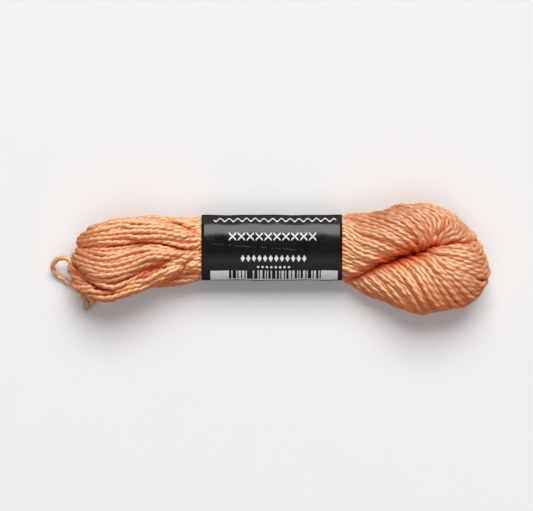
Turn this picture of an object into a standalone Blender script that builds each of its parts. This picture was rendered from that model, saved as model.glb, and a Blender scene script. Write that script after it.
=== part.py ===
"""Skein of embroidery floss: a twisted hank in a paper band, with its tie yarn.

The hank is one solid of its wound form. Two fans of loop ends lie side by side on
the left, they meet in a waist inside the band, and on the right one arm lies over
the other and turns back under itself in a broad fold. Lengths in the tables are
millimetres; +X runs along the skein, +Y across it, and it lies on z = 0.
"""

import bisect
import math
from collections import namedtuple

import bpy
import bmesh
from mathutils import Vector

MM = 0.001
GAP = 0.3              # clearance between two pieces

# Hank
SIDES = 40             # points round a section of an arm
STEP = 2.6             # length of arm between two sections
CORD_LOBES = 8         # strands' rope-like ridges round an arm
LOBE_DEPTH = 0.035     # height of a ridge, as a share of the arm's half width
TURN_LENGTH = 52.0     # length in which the ridges go once round an arm

# Paper band
BAND_LEFT = -21.9
BAND_LENGTH = 38.0
BAND_ACROSS = 17.9
BAND_HEIGHT = 11.4     # of the oval that the flat underside cuts
BAND_MID_Y = 2.9
BAND_MID_Z = 5.3
BAND_WALL = 1.0
BAND_ROUNDNESS = 2.3   # exponent of the band's rounded oval section
BAND_SIDES = 48

# Hank's half sizes where the band grips it, with room for the ridges
WAIST_HALF_WIDTH = (BAND_ACROSS / 2 - BAND_WALL - GAP) / (1 + LOBE_DEPTH)
BAND_INSIDE_TOP = BAND_MID_Z + BAND_HEIGHT / 2 - BAND_WALL
WAIST_MID_Z = (BAND_INSIDE_TOP + BAND_WALL) / 2
WAIST_HALF_HEIGHT = (BAND_INSIDE_TOP - WAIST_MID_Z - GAP) / (1 + LOBE_DEPTH)

# Tie
TIE_DIAMETER = 1.5
TIE_SPACING = 1.3      # diameters between two points of the tube's path

Section = namedtuple("Section", "x y z half_width half_height")

# Each arm's sections, from one end to the other.
UPPER_FAN = [
    Section(-53.8, 5.6, 6.2, 4.4, 5.6),
    Section(-49.5, 5.6, 6.4, 5.1, 6.5),
    Section(-42.0, 5.7, 6.7, 5.6, 6.9),
    Section(-34.0, 5.6, 6.8, 5.7, 6.5),
    Section(-27.0, 5.2, 6.6, 5.2, 5.2),
    Section(-23.2, 4.2, 5.8, 4.2, 3.8),
    Section(-20.5, 3.6, 5.4, 3.4, 2.9),
]
LOWER_FAN = [
    Section(-54.6, -0.9, 5.6, 4.1, 5.2),
    Section(-51.6, -2.4, 6.1, 5.4, 6.0),
    Section(-48.1, -4.0, 6.5, 6.8, 6.8),
    Section(-42.7, -3.8, 6.7, 7.0, 7.1),
    Section(-37.5, -2.6, 6.7, 6.4, 6.7),
    Section(-32.5, -1.6, 6.4, 5.0, 5.6),
    Section(-27.0, -0.4, 6.0, 3.6, 4.4),
    Section(-21.0, 1.4, 5.4, 2.6, 2.8),
]
WAIST = [
    Section(-38.0, 1.6, 6.0, 6.4, 5.0),
    Section(-32.0, 1.9, 6.2, 8.6, 5.9),
    Section(-27.0, 2.0, 6.0, 8.9, 5.6),
    Section(-23.8, 2.6, 5.6, 8.1, 4.8),
    Section(BAND_LEFT - GAP, BAND_MID_Y, WAIST_MID_Z, WAIST_HALF_WIDTH, WAIST_HALF_HEIGHT),
    Section(-3.0, BAND_MID_Y, WAIST_MID_Z, WAIST_HALF_WIDTH, WAIST_HALF_HEIGHT),
    Section(BAND_LEFT + BAND_LENGTH, BAND_MID_Y, WAIST_MID_Z, WAIST_HALF_WIDTH, WAIST_HALF_HEIGHT),
    Section(18.0, 2.9, 5.7, 8.2, 4.6),
    Section(22.0, 2.6, 6.0, 8.6, 5.4),
    Section(28.0, 2.4, 6.2, 6.0, 4.6),
]
OVER_ARM = [
    Section(13.0, 3.0, 5.6, 4.0, 3.0),
    Section(17.2, 3.5, 5.9, 6.8, 3.9),
    Section(20.5, 4.1, 6.7, 8.2, 5.4),
    Section(25.1, 5.5, 7.3, 7.6, 6.6),
    Section(29.1, 6.6, 7.5, 7.4, 7.0),
    Section(33.5, 7.8, 7.3, 7.0, 7.1),
    Section(37.4, 8.3, 7.0, 6.5, 7.0),
    Section(41.5, 8.2, 6.8, 6.0, 6.9),
    Section(45.0, 6.6, 6.6, 5.9, 6.6),
    Section(47.3, 3.4, 6.5, 6.2, 6.2),
    Section(48.3, -0.5, 6.5, 6.4, 5.8),
]
UNDER_ARM = [
    Section(43.5, 7.6, 6.5, 5.0, 5.6),
    Section(46.8, 4.4, 6.5, 6.4, 6.4),
    Section(48.2, 0.6, 6.6, 8.0, 7.0),
    Section(45.9, -4.0, 6.7, 8.8, 7.3),
    Section(41.0, -6.0, 6.7, 9.0, 7.4),
    Section(36.0, -6.6, 6.7, 8.2, 7.4),
    Section(31.8, -6.1, 6.6, 7.4, 7.1),
    Section(27.5, -4.9, 6.4, 6.4, 6.4),
    Section(23.2, -3.8, 5.9, 5.8, 5.6),
    Section(19.4, -1.6, 5.5, 5.0, 4.5),
    Section(15.0, 1.6, 5.4, 3.6, 3.0),
]

TiePoint = namedtuple("TiePoint", "x y z")

# The tie's route from one cut end, up the side of the fan, round its tip in the
# loose loop, and back under itself to the other cut end.
TIE_ROUTE = [
    TiePoint(-51.8, -12.3, 0.80),
    TiePoint(-52.5, -10.8, 1.40),
    TiePoint(-53.4, -9.2, 2.30),
    TiePoint(-54.4, -7.4, 3.30),
    TiePoint(-55.3, -5.6, 4.20),
    TiePoint(-56.1, -3.9, 5.00),
    TiePoint(-56.7, -2.3, 5.60),
    TiePoint(-57.5, -0.8, 5.80),
    TiePoint(-59.2, 0.1, 5.30),
    TiePoint(-61.1, -0.3, 4.10),
    TiePoint(-62.4, -1.6, 2.90),
    TiePoint(-62.5, -3.1, 1.80),
    TiePoint(-61.6, -4.4, 1.10),
    TiePoint(-60.3, -5.4, 0.85),
    TiePoint(-58.5, -6.7, 0.80),
    TiePoint(-56.4, -7.9, 0.80),
    TiePoint(-55.0, -9.2, 0.80),
    TiePoint(-54.1, -10.8, 0.80),
    TiePoint(-53.6, -12.2, 0.80),
    TiePoint(-53.3, -13.8, 0.80),
]


def remove_scene_objects():
    for existing in list(bpy.data.objects):
        bpy.data.objects.remove(existing, do_unlink=True)


def new_collection(name):
    collection = bpy.data.collections.new(name)
    bpy.context.scene.collection.children.link(collection)
    return collection


def new_material(name, colour, roughness):
    material = bpy.data.materials.new(name)
    material.use_nodes = True
    shader = material.node_tree.nodes["Principled BSDF"]
    shader.inputs["Base Color"].default_value = (*colour, 1.0)
    shader.inputs["Roughness"].default_value = roughness
    shader.inputs["Metallic"].default_value = 0.0
    return material


def object_from_bmesh(mesh_data, name, collection, material):
    bmesh.ops.recalc_face_normals(mesh_data, faces=mesh_data.faces)
    mesh = bpy.data.meshes.new(name)
    mesh_data.to_mesh(mesh)
    mesh_data.free()
    mesh.materials.append(material)
    mesh.shade_smooth()
    mesh.set_sharp_from_angle(angle=math.radians(50))
    new_object = bpy.data.objects.new(name, mesh)
    collection.objects.link(new_object)
    return new_object


def between(rows, distances, distance):
    """Values at a distance along the rows, on a smooth (Catmull-Rom) curve."""
    last = len(rows) - 1
    here = min(max(bisect.bisect_right(distances, distance) - 1, 0), last - 1)
    share = (distance - distances[here]) / (distances[here + 1] - distances[here])
    before, start = rows[max(here - 1, 0)], rows[here]
    end, after = rows[here + 1], rows[min(here + 2, last)]
    result = []
    for p0, p1, p2, p3 in zip(before, start, end, after):
        result.append(
            0.5 * (
                2 * p1
                + (p2 - p0) * share
                + (2 * p0 - 5 * p1 + 4 * p2 - p3) * share ** 2
                + (3 * p1 - p0 - 3 * p2 + p3) * share ** 3
            )
        )
    return result


def row_distances(rows):
    """Distance of each row from the first, along straight lines between them."""
    distances = [0.0]
    for start, end in zip(rows, rows[1:]):
        distances.append(distances[-1] + math.dist(start[:3], end[:3]))
    return distances


def end_rounding(distance, length, radius):
    """Share of the full section near an arm's ends, so that they close as domes."""
    from_end = min(distance, length - distance)
    if from_end >= radius:
        return 1.0
    return math.sqrt(1.0 - (1.0 - from_end / radius) ** 2)


def arm_object(name, sections, end_radius, collection, material):
    """Loft of ridged ovals along an arm, closed by a point at each end."""
    distances = row_distances(sections)
    length = distances[-1]
    count = max(4, round(length / STEP))
    inner = [length * index / count for index in range(1, count)]
    near_ends = [0.12 * end_radius, 0.45 * end_radius]
    stations = sorted(near_ends + [length - gap for gap in near_ends]
                      + [d for d in inner if end_radius * 0.7 < d < length - end_radius * 0.7])
    arm = bmesh.new()
    rings = []
    for distance in stations:
        x, y, z, half_width, half_height = between(sections, distances, distance)
        nudge = 0.02 * length
        behind = between(sections, distances, max(distance - nudge, 0.0))
        ahead = between(sections, distances, min(distance + nudge, length))
        along = (Vector(ahead[:3]) - Vector(behind[:3])).normalized()
        across = Vector((0, 0, 1)).cross(along).normalized()
        up = along.cross(across)
        rounding = end_rounding(distance, length, end_radius)
        turn = 2 * math.pi * distance / TURN_LENGTH
        ring = []
        for side in range(SIDES):
            angle = 2 * math.pi * side / SIDES
            ridge = 1.0 + LOBE_DEPTH * math.cos(CORD_LOBES * (angle - turn))
            reach = rounding * ridge
            point = Vector((x, y, z))
            point += across * (half_width * reach * math.cos(angle))
            point += up * (half_height * reach * math.sin(angle))
            ring.append(arm.verts.new(point * MM))
        rings.append(ring)
    for ring, following in zip(rings, rings[1:]):
        for side in range(SIDES):
            after = (side + 1) % SIDES
            arm.faces.new((ring[side], ring[after], following[after], following[side]))
    for ring, section in ((rings[0], sections[0]), (rings[-1], sections[-1])):
        tip = arm.verts.new(Vector(section[:3]) * MM)
        for side in range(SIDES):
            arm.faces.new((ring[side], ring[(side + 1) % SIDES], tip))
    return object_from_bmesh(arm, name, collection, material)


def add_boolean(target, cutter, operation):
    cutter.hide_render = True
    cutter.display_type = "WIRE"
    modifier = target.modifiers.new(f"{operation}_{cutter.name}", "BOOLEAN")
    modifier.operation = operation
    modifier.solver = "EXACT"
    modifier.object = cutter


def table_block(collection, material):
    """Block under z = 0 that cuts the hank's flat resting spots."""
    width, depth, height = 140.0, 60.0, 10.0
    block = bmesh.new()
    bmesh.ops.create_cube(block, size=1.0)
    for vertex in block.verts:
        vertex.co.x *= width * MM
        vertex.co.y *= depth * MM
        vertex.co.z = (vertex.co.z - 0.5) * height * MM
    return object_from_bmesh(block, "table_block", collection, material)


def make_hank(collection, cutters):
    silk = new_material("silk_yarn", (0.85, 0.42, 0.24), 0.45)
    hank = arm_object("hank", WAIST, 4.0, collection, silk)
    arms = (
        ("upper_fan", UPPER_FAN, 4.0),
        ("lower_fan", LOWER_FAN, 4.5),
        ("over_arm", OVER_ARM, 4.0),
        ("under_arm", UNDER_ARM, 4.0),
    )
    for name, sections, end_radius in arms:
        add_boolean(hank, arm_object(name, sections, end_radius, cutters, silk), "UNION")
    add_boolean(hank, table_block(cutters, silk), "DIFFERENCE")
    return hank


def band_outline():
    """Points of a rounded oval, flat where it meets the table."""
    points = []
    for side in range(BAND_SIDES):
        angle = 2 * math.pi * (side + 0.5) / BAND_SIDES
        power = 2.0 / BAND_ROUNDNESS
        across = math.copysign(abs(math.cos(angle)) ** power, math.cos(angle))
        up = math.copysign(abs(math.sin(angle)) ** power, math.sin(angle))
        y = BAND_MID_Y + BAND_ACROSS / 2 * across
        z = BAND_MID_Z + BAND_HEIGHT / 2 * up
        points.append((y, max(z, 0.0)))
    return points


def make_band(collection):
    """Open tube of the band's outside, given its wall inwards by Solidify."""
    paper = new_material("coated_paper", (0.012, 0.012, 0.013), 0.25)
    tube = bmesh.new()
    rings = []
    for x in (BAND_LEFT, BAND_LEFT + BAND_LENGTH):
        rings.append([tube.verts.new(Vector((x, y, z)) * MM) for y, z in band_outline()])
    for side in range(BAND_SIDES):
        after = (side + 1) % BAND_SIDES
        tube.faces.new((rings[0][side], rings[0][after], rings[1][after], rings[1][side]))
    band = object_from_bmesh(tube, "paper_band", collection, paper)
    wall = band.modifiers.new("wall", "SOLIDIFY")
    wall.thickness = BAND_WALL * MM
    wall.offset = -1.0
    wall.use_even_offset = True
    return band


def make_tie(collection):
    """Tube along a smooth curve through the tie's route."""
    yarn = new_material("tie_yarn", (0.88, 0.47, 0.28), 0.5)
    distances = row_distances(TIE_ROUTE)
    count = round(distances[-1] / (TIE_SPACING * TIE_DIAMETER))
    curve = bpy.data.curves.new("tie", "CURVE")
    curve.dimensions = "3D"
    curve.bevel_depth = TIE_DIAMETER / 2 * MM
    curve.bevel_resolution = 2
    curve.use_fill_caps = True
    spline = curve.splines.new("POLY")
    spline.points.add(count)
    for index, point in enumerate(spline.points):
        distance = distances[-1] * index / count
        place = Vector(between(TIE_ROUTE, distances, distance)) * MM
        point.co = (*place, 1.0)
    curve.materials.append(yarn)
    tie = bpy.data.objects.new("tie", curve)
    collection.objects.link(tie)
    return tie


def main():
    remove_scene_objects()
    skein = new_collection("floss_skein")
    cutters = new_collection("cutters")
    make_hank(skein, cutters)
    make_band(skein)
    make_tie(skein)


main()
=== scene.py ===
"""Skein of embroidery floss, as it looks: a ring of silk yarn twisted, folded and
held in a glossy paper band, with its tie yarn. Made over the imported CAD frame."""

import functools
import math

import bpy
import numpy as np
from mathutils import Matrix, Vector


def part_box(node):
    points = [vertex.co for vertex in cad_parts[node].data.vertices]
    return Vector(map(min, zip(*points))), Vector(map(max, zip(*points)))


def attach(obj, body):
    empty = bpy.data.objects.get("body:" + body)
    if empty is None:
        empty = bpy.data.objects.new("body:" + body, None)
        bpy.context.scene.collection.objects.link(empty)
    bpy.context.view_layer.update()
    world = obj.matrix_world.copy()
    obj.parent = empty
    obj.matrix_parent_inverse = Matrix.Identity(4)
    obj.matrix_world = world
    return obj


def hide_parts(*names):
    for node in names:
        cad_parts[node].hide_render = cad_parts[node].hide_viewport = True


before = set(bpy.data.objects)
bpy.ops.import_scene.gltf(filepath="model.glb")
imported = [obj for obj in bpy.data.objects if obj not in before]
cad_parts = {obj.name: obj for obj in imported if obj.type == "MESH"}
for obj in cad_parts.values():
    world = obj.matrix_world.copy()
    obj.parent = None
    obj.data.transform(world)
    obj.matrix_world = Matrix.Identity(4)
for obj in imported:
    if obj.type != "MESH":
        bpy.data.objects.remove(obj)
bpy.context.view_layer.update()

bl_info = {
    "name": "Embroidery floss skein",
    "version": (1, 0, 0),
    "blender": (4, 5, 0),
    "location": "3D View > Sidebar > Floss",
    "description": "Makes a twisted skein of silk yarn with its paper band and tie",
    "category": "Add Mesh",
}

MM = 0.001
BAND_BOX = [[float(value) / MM for value in corner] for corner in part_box("paper_band")]

# The photograph's frame on the table, in millimetres
FRAME_WIDTH = 144.4
FRAME_MID_X, FRAME_MID_Y = -4.34, 0.75
OBJECT_MID_HEIGHT = 7.0

# Band, millimetres. Its ends and oval are those of the CAD band.
BAND_LEFT, BAND_RIGHT = BAND_BOX[0][0], BAND_BOX[1][0]
BAND_MID_Y = (BAND_BOX[0][1] + BAND_BOX[1][1]) / 2
BAND_HALF_WIDTH, BAND_HALF_HEIGHT = 8.95, 5.7
BAND_MID_Z = 5.3
BAND_ROUNDNESS = 2.3
BAND_AROUND, BAND_ALONG = 132, 44   # mesh points round the band and along it

# Tie's route, as in the CAD: x, y, z in millimetres
TIE_ROUTE = [
    (-51.8, -12.3, 0.80), (-52.5, -10.8, 1.40), (-53.4, -9.2, 2.30), (-54.4, -7.4, 3.30),
    (-55.3, -5.6, 4.20), (-56.1, -3.9, 5.00), (-56.7, -2.3, 5.60), (-57.5, -0.8, 5.80),
    (-59.2, 0.1, 5.30), (-61.1, -0.3, 4.10), (-62.4, -1.6, 2.90), (-62.5, -3.1, 1.80),
    (-61.6, -4.4, 1.10), (-60.3, -5.4, 0.85), (-58.5, -6.7, 0.80), (-56.4, -7.9, 0.80),
    (-55.0, -9.2, 0.80), (-54.1, -10.8, 0.80), (-53.6, -12.2, 0.80), (-53.3, -13.8, 0.80),
]
TIE_PLY_TURN, TIE_RING_GAP = 4.7, 0.32
TIE_OPENED = 2.4         # length in which a cut end opens up
FRAY_FIBRES = 26         # at each cut end

# The ring of yarn. Each turn of it runs: upper fan, band, over arm, fold, under
# arm, band, lower fan, and back. Rows of a route hold
# x, y, z, half width, half height, facing (degrees in plan of the width's outer side).
TURNS = 48
FAN_STATIONS, BAND_STATIONS, ARM_STATIONS = 112, 46, 150
# Strands in each ring of a bundle, the outermost first
UPPER_RINGS, LOWER_RINGS, EDGE_RINGS = (18, 14, 10, 6), (15, 10, 5), (12, 6)
ARM_RINGS, BAND_RINGS = (38, 27, 17, 9, 5), (52, 43, 35, 28, 20, 14)
UPPER_FAN = [
    (-21.9, 4.4, 7.4, 2.8, 2.4, 90), (-24.5, 4.8, 7.9, 3.0, 2.6, 90),
    (-28.0, 5.4, 8.7, 3.2, 3.0, 90), (-33.2, 6.4, 9.4, 3.2, 3.2, 90),
    (-38.0, 6.8, 9.6, 3.4, 3.0, 90), (-42.5, 6.6, 9.5, 3.6, 2.9, 90),
    (-45.6, 6.1, 9.4, 3.6, 2.85, 90), (-48.6, 5.6, 9.2, 3.3, 2.8, 90),
    (-51.0, 5.0, 8.2, 2.6, 2.7, 90), (-52.0, 4.7, 6.4, 2.2, 2.6, 90),
    (-51.0, 4.9, 4.6, 2.6, 2.7, 90), (-48.6, 5.6, 3.7, 3.3, 2.8, 90),
    (-45.6, 6.1, 3.6, 3.6, 2.85, 90), (-42.5, 6.4, 3.6, 3.7, 2.85, 90),
    (-38.0, 6.8, 4.1, 3.5, 3.1, 90), (-33.2, 7.1, 4.9, 3.2, 3.6, 90),
    (-28.0, 7.5, 5.6, 2.7, 3.9, 90), (-24.5, 7.5, 5.6, 2.6, 3.6, 90),
    (-21.9, 7.7, 5.5, 2.7, 3.4, 90),
]
LOWER_FAN = [
    (-21.9, 1.0, 7.6, 1.4, 2.4, 90), (-24.5, 0.9, 8.1, 1.4, 2.6, 90),
    (-28.3, 0.6, 9.3, 1.7, 2.7, 90), (-31.8, 0.4, 10.4, 2.4, 2.5, 90),
    (-35.9, 0.2, 11.2, 3.2, 2.3, 90), (-41.3, -1.5, 12.1, 4.4, 1.8, 90),
    (-46.0, -2.5, 12.4, 4.9, 1.5, 90), (-49.9, -2.2, 12.0, 4.4, 1.4, 90),
    (-52.8, -1.2, 10.3, 3.4, 1.3, 90), (-54.1, -0.4, 7.2, 2.4, 1.2, 90),
    (-53.0, -1.0, 3.8, 3.2, 1.2, 90), (-50.0, -2.5, 2.3, 4.0, 1.2, 90),
    (-46.7, -3.2, 2.1, 4.8, 1.2, 90), (-41.3, -3.3, 2.4, 4.6, 1.4, 90),
    (-35.9, -3.1, 3.2, 4.1, 1.9, 90), (-31.8, -3.2, 4.1, 4.2, 2.4, 90),
    (-28.0, -3.2, 4.6, 4.3, 2.6, 90), (-24.5, -2.8, 4.6, 3.8, 2.6, 90),
    (-21.9, -2.2, 4.6, 2.6, 2.4, 90),
]
EDGE_FAN = [
    (-21.9, -1.2, 7.6, 1.2, 2.2, 90), (-24.5, -1.2, 8.1, 1.2, 2.3, 90),
    (-28.3, -2.4, 8.8, 1.3, 2.6, 80), (-31.8, -4.2, 9.2, 1.7, 2.9, 72),
    (-35.9, -5.7, 9.1, 1.9, 3.1, 68), (-39.4, -7.1, 9.4, 2.0, 3.3, 70),
    (-42.7, -8.4, 9.1, 1.9, 3.4, 74), (-46.2, -9.2, 8.7, 1.9, 3.5, 86),
    (-49.6, -8.9, 8.1, 1.9, 3.3, 104), (-52.2, -7.4, 7.4, 1.9, 3.0, 128),
    (-54.3, -5.4, 6.1, 1.8, 2.6, 140), (-55.5, -3.4, 5.5, 1.5, 2.0, 160),
    (-55.3, -1.7, 4.5, 1.2, 1.6, 210), (-53.6, -1.2, 4.0, 1.4, 1.5, 262),
    (-51.0, -1.3, 4.2, 2.0, 1.5, 270), (-46.0, -1.2, 5.2, 3.0, 1.6, 270),
    (-40.0, -1.7, 5.8, 3.2, 1.6, 270), (-34.0, -1.8, 5.8, 2.6, 1.9, 270),
    (-28.0, -1.8, 5.4, 2.2, 2.2, 270), (-24.5, -1.8, 5.2, 2.2, 2.0, 270),
    (-21.9, -1.8, 5.0, 2.0, 2.0, 270),
]
ARM = [
    (16.1, 3.0, 7.2, 8.3, 3.3, 90), (20.5, 3.6, 7.8, 8.3, 4.4, 90),
    (25.1, 5.0, 8.0, 7.4, 5.8, 90), (29.1, 6.3, 7.8, 7.2, 6.7, 90),
    (33.5, 7.6, 7.4, 6.8, 7.2, 90), (37.4, 8.1, 7.1, 6.3, 7.2, 89),
    (41.3, 8.0, 6.9, 5.8, 6.7, 79), (44.6, 6.3, 6.9, 4.9, 6.9, 37), (46.9, 3.5, 7.0, 5.9, 6.7, 4),
    (47.9, 0.2, 7.2, 8.3, 7.5, -21), (46.1, -3.8, 7.4, 9.6, 7.9, -47),
    (41.0, -5.6, 7.4, 8.8, 8.0, -87), (36.0, -6.5, 6.9, 8.3, 7.5, -90),
    (31.8, -6.2, 5.9, 6.9, 6.2, -90), (27.5, -5.3, 4.7, 5.4, 4.8, -90),
    (23.2, -4.2, 3.8, 5.3, 3.6, -90), (19.4, -2.0, 3.5, 5.5, 3.0, -90),
    (16.1, 0.6, 3.6, 6.2, 2.7, -90),
]
# Turn of the strands round the arm's middle at each row of ARM: degrees a millimetre, and
# how far (mm) the strands that climb the outside run ahead of those on the inside
ARM_TWIST = [
    (2.0, 0.0), (4.5, 0.0), (6.5, 0.0), (7.0, 0.0), (7.5, 0.2), (8.5, 0.8), (11.5, 3.8),
    (14.0, 4.6), (13.5, 4.8), (11.5, 5.2), (10.0, 4.2), (9.0, 2.5), (9.0, 1.2), (8.5, 0.6),
    (8.0, 0.3), (7.0, 0.0), (5.0, 0.0), (0.0, 0.0),
]
# Grooves between bundles, seen from above: points with x, y, depth and half width
GROOVES = {
    "fold": [
        (17.8, -5.8, 1.5, 0.8), (20.5, -4.8, 1.9, 0.8), (23.3, -3.2, 2.5, 0.8),
        (25.3, -2.0, 3.0, 0.8), (29.1, -0.7, 3.5, 0.9), (33.6, 0.9, 3.8, 0.9),
        (35.9, 1.5, 3.8, 0.9), (40.5, 3.2, 2.8, 0.8),
    ],
    "fold_rise": [
        (41.6, 6.0, 2.0, 0.7), (42.9, 7.4, 2.2, 0.7), (43.8, 9.4, 1.8, 0.7),
        (44.0, 10.4, 0.8, 0.7),
    ],
    "fold_side": [
        (41.0, 3.3, 2.2, 0.7), (44.3, 4.1, 1.9, 0.7), (47.0, 4.6, 1.9, 0.7),
        (52.6, 4.3, 1.6, 0.8),
    ],
    "upper_left": [
        (-35.6, 10.6, 0.6, 0.6), (-32.1, 9.9, 1.6, 0.7), (-27.3, 8.7, 1.9, 0.7),
        (-23.0, 6.2, 1.2, 0.7),
    ],
    "middle_left": [
        (-22.4, 2.0, 1.5, 0.7), (-26.6, 2.2, 2.2, 0.7), (-30.5, 3.4, 2.5, 0.7),
        (-32.7, 3.9, 2.5, 0.7), (-37.5, 4.0, 2.0, 0.7), (-41.3, 3.4, 1.5, 0.7),
        (-47.0, 2.6, 0.8, 0.7),
    ],
    "lower_left": [
        (-23.0, 1.2, 1.2, 0.6), (-25.6, -1.0, 1.9, 0.6), (-28.1, -4.3, 2.0, 0.7),
        (-31.2, -6.1, 1.8, 0.7), (-35.9, -8.0, 0.8, 0.7),
    ],
    "inner_left": [
        (-41.5, -5.6, 1.0, 0.8), (-40.0, -4.5, 2.0, 0.8), (-37.3, -2.9, 2.8, 0.9),
        (-34.0, -1.8, 2.8, 0.9), (-30.5, -0.6, 2.2, 0.8), (-27.8, 0.1, 1.2, 0.7),
    ],
    "gap_left": [
        (-55.8, -2.6, 1.0, 0.6), (-54.9, -3.8, 1.5, 0.6), (-53.3, -5.1, 1.8, 0.6),
        (-51.2, -7.0, 1.8, 0.6), (-49.5, -8.1, 1.8, 0.6), (-47.6, -8.6, 1.5, 0.6),
        (-45.5, -9.1, 1.0, 0.6),
    ],
}
# Places where the silk is coloured darker and browner: x, y, radius, strength from 0 to 1
DARKER_PLACES = [
    (26.4, 11.0, 6.0, 0.9), (36.0, 11.5, 5.0, 0.65), (46.7, 9.0, 6.5, 0.7),
    (51.5, -4.0, 6.5, 0.4), (-52.5, 1.5, 5.0, 0.7), (-41.0, -2.8, 9.0, 0.5),
    (24.0, -7.0, 5.0, 0.4), (41.0, -5.0, 12.0, 0.34),
]
LEAD_ANGLE = 15.0   # degrees from the arm's outer side at which strands run ahead the most
YARN_HALF = 0.7
# Grooves press strands from a height on, fully after a range. From an x near the far
# end on, they also draw strands in by a share of their depth.
PRESSED_FROM, PRESSED_RANGE = 3.0, 4.0
NOTCH_X, NOTCH_RANGE, NOTCH_SHARE = 49.0, 3.0, 0.6
# Far from the band the fans' ends are drawn back: where that starts, and over what length
TIP_START, TIP_LENGTH = -41.0, 9.0
# Length and stations in which a strand bends into its place in the band
BEND_LENGTH, BEND_STATIONS = 5.5, 14

# Drift of the strands: size, and waves in a turn of the ring
DRIFT, DRIFT_WAVES = 0.39, (7, 12, 18, 25)
PACKING, ROUNDS, QUICK_ROUNDS, SEARCH_EVERY = 0.78, 140, 30, 6
KEPT_DRIFT, SMOOTHING = 0.975, 0.45
# Near the band strands lie closer: share of their width at it, and over what length
SQUEEZED, SQUEEZE_LENGTH = 0.72, 13.0
# They also keep within an oval: its inset at the band, how fast it grows to the left,
# to the right and upwards, and over what length it holds them
GRIP_INSET, GRIP_LENGTH = 0.95, 12.0
GRIP_GROWTH_LEFT, GRIP_GROWTH_RIGHT, GRIP_GROWTH_UP = 0.30, 0.65, 0.6

# Mesh of the yarn: points round its section, distance between rings where they are
# seen and where they aren't, and turns of the ring in one piece
PLY_POINTS = 12
RING_GAP, HIDDEN_RING_GAP = 0.51, 1.9
PIECE_TURNS = 4
# Swell of the yarn at the outside of the fold: x, y, radius, strength
LOOSE_PLACE = (51.0, -5.5, 8.5, 0.32)
# The arm's twist runs against that of the plies and opens it to this share
ARM_PLY_SHARE = 0.8
FIBRE_RINGS, FIBRE_SIDES = 6, 4
STRAY_FIBRES, STRAY_TRIES = 420, 9000
# No fibres stray within the distance of this x, where the band is
BARE_X, BARE_DISTANCE = -2.8, 22.0

# Direction from which the silk is lit, as a unit vector; the silk material paints shade on flanks
# that face away from it
LIT_SIDE = (0.114, 0.646, 0.755)

# Print on the band, in millimetres from its left edge and from the far edge of its
# top. Rows of marks hold left, right, far side, near side, middle, pitch.
STITCH_ROW = (7.2, 31.2, 7.6, 10.2, 8.92, 2.4)
DIAMOND_ROW = (10.4, 28.52, 13.75, 16.1, 14.92, 1.51)
DOT_ROW = (14.7, 24.22, 16.7, 18.0, 17.35, 1.19)
SCALLOP_BOX, SCALLOP_MIDDLE, SCALLOP_WAVES = (3.3, 36.4, 2.7, 5.1), 3.9, 2.658
STRIP_BOX, BARS_BOX = (2.4, 36.8, 18.4, 22.4), (7.1, 32.3, 18.4, 21.6)

# Lamps: name, bearing, elevation (degrees), distance, width, height (m), watts, colour
LAMPS = [
    ("softbox", 80, 49, 3.0, 2.2, 1.9, 94.0, (1.0, 0.99, 0.975)),
    ("fill_card", -95, 62, 3.0, 2.8, 2.0, 24.0, (0.98, 0.99, 1.0)),
]
LENS, SENSOR = 200.0, 36.0
FLOOR_SIZE = 3000.0


# ------------------------------------------------------------------ settings

length_setting = functools.partial(bpy.props.FloatProperty, subtype="DISTANCE", unit="LENGTH")
colour_setting = functools.partial(bpy.props.FloatVectorProperty, subtype="COLOR",
                                   size=3, min=0.0, max=1.0)


class FlossSizes(bpy.types.PropertyGroup):
    """Sizes of the skein's pieces"""
    yarn_width: length_setting(
        name="Yarn width", description="Width of the two-ply yarn across both plies",
        default=0.00140, min=0.0005, max=0.004)
    ply_turn: length_setting(
        name="Ply turn", description="Length of yarn in which a ply goes once round",
        default=0.0042, min=0.001, max=0.02)
    tie_width: length_setting(
        name="Tie width", description="Width of the tie yarn",
        default=0.0015, min=0.0005, max=0.004)
    paper_thickness: length_setting(
        name="Paper thickness", description="Thickness of the band's paper",
        default=0.0002, min=0.00005, max=0.001)


class FlossColours(bpy.types.PropertyGroup):
    """Colours of the skein and its floor"""
    silk: colour_setting(
        name="Silk", description="Colour of the dyed silk", default=(0.985, 0.575, 0.285))
    # Used for strands that took the dye deeper, and as the painted shade colour in gaps, ply
    # grooves and on flanks facing away from the lamp
    silk_deep_dye_and_shade: colour_setting(
        name="Silk, deep", description="Colour of the silk in gaps and on shaded flanks",
        default=(0.88, 0.195, 0.055))
    # Darker, browner colour laid on the silk round the places listed as darker
    silk_darker: colour_setting(
        name="Silk, strong dye", description="Colour of the silk where it took the most dye",
        default=(0.64, 0.27, 0.125))
    # Painted shade: colour laid into the folds between bundles
    silk_fold_shade: colour_setting(
        name="Silk, in folds", description="Colour of the silk deep between the bundles",
        default=(0.74, 0.10, 0.02))
    paper: colour_setting(
        name="Paper", description="Colour of the band's coating", default=(0.0078, 0.0078, 0.0080))
    print_ink: colour_setting(
        name="Print", description="Colour of the band's ornament", default=(0.80, 0.80, 0.79))
    floor: colour_setting(
        name="Floor", description="Colour of the table", default=(0.85, 0.847, 0.847))


# ------------------------------------------------------------------ shapes

def catmull_rom(before, start, end, after, t):
    """Cubic from start (t = 0) to end (t = 1), whose slope at each of the two is half
    of the step between the points on both sides of it."""
    return 0.5 * (2 * start + (end - before) * t
                  + (2 * before - 5 * start + 4 * end - after) * t ** 2
                  + (3 * start - before - 3 * end + after) * t ** 3)


def rows_between(rows, at):
    """Rows of a table at any place between them, on Catmull-Rom curves."""
    rows = np.asarray(rows, float)
    last = len(rows) - 1
    at = np.clip(at, 0.0, last)
    here = np.minimum(at.astype(int), last - 1)
    t = (at - here)[..., None]
    before, start = rows[np.maximum(here - 1, 0)], rows[here]
    return catmull_rom(before, start, rows[here + 1], rows[np.minimum(here + 2, last)], t)


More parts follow.
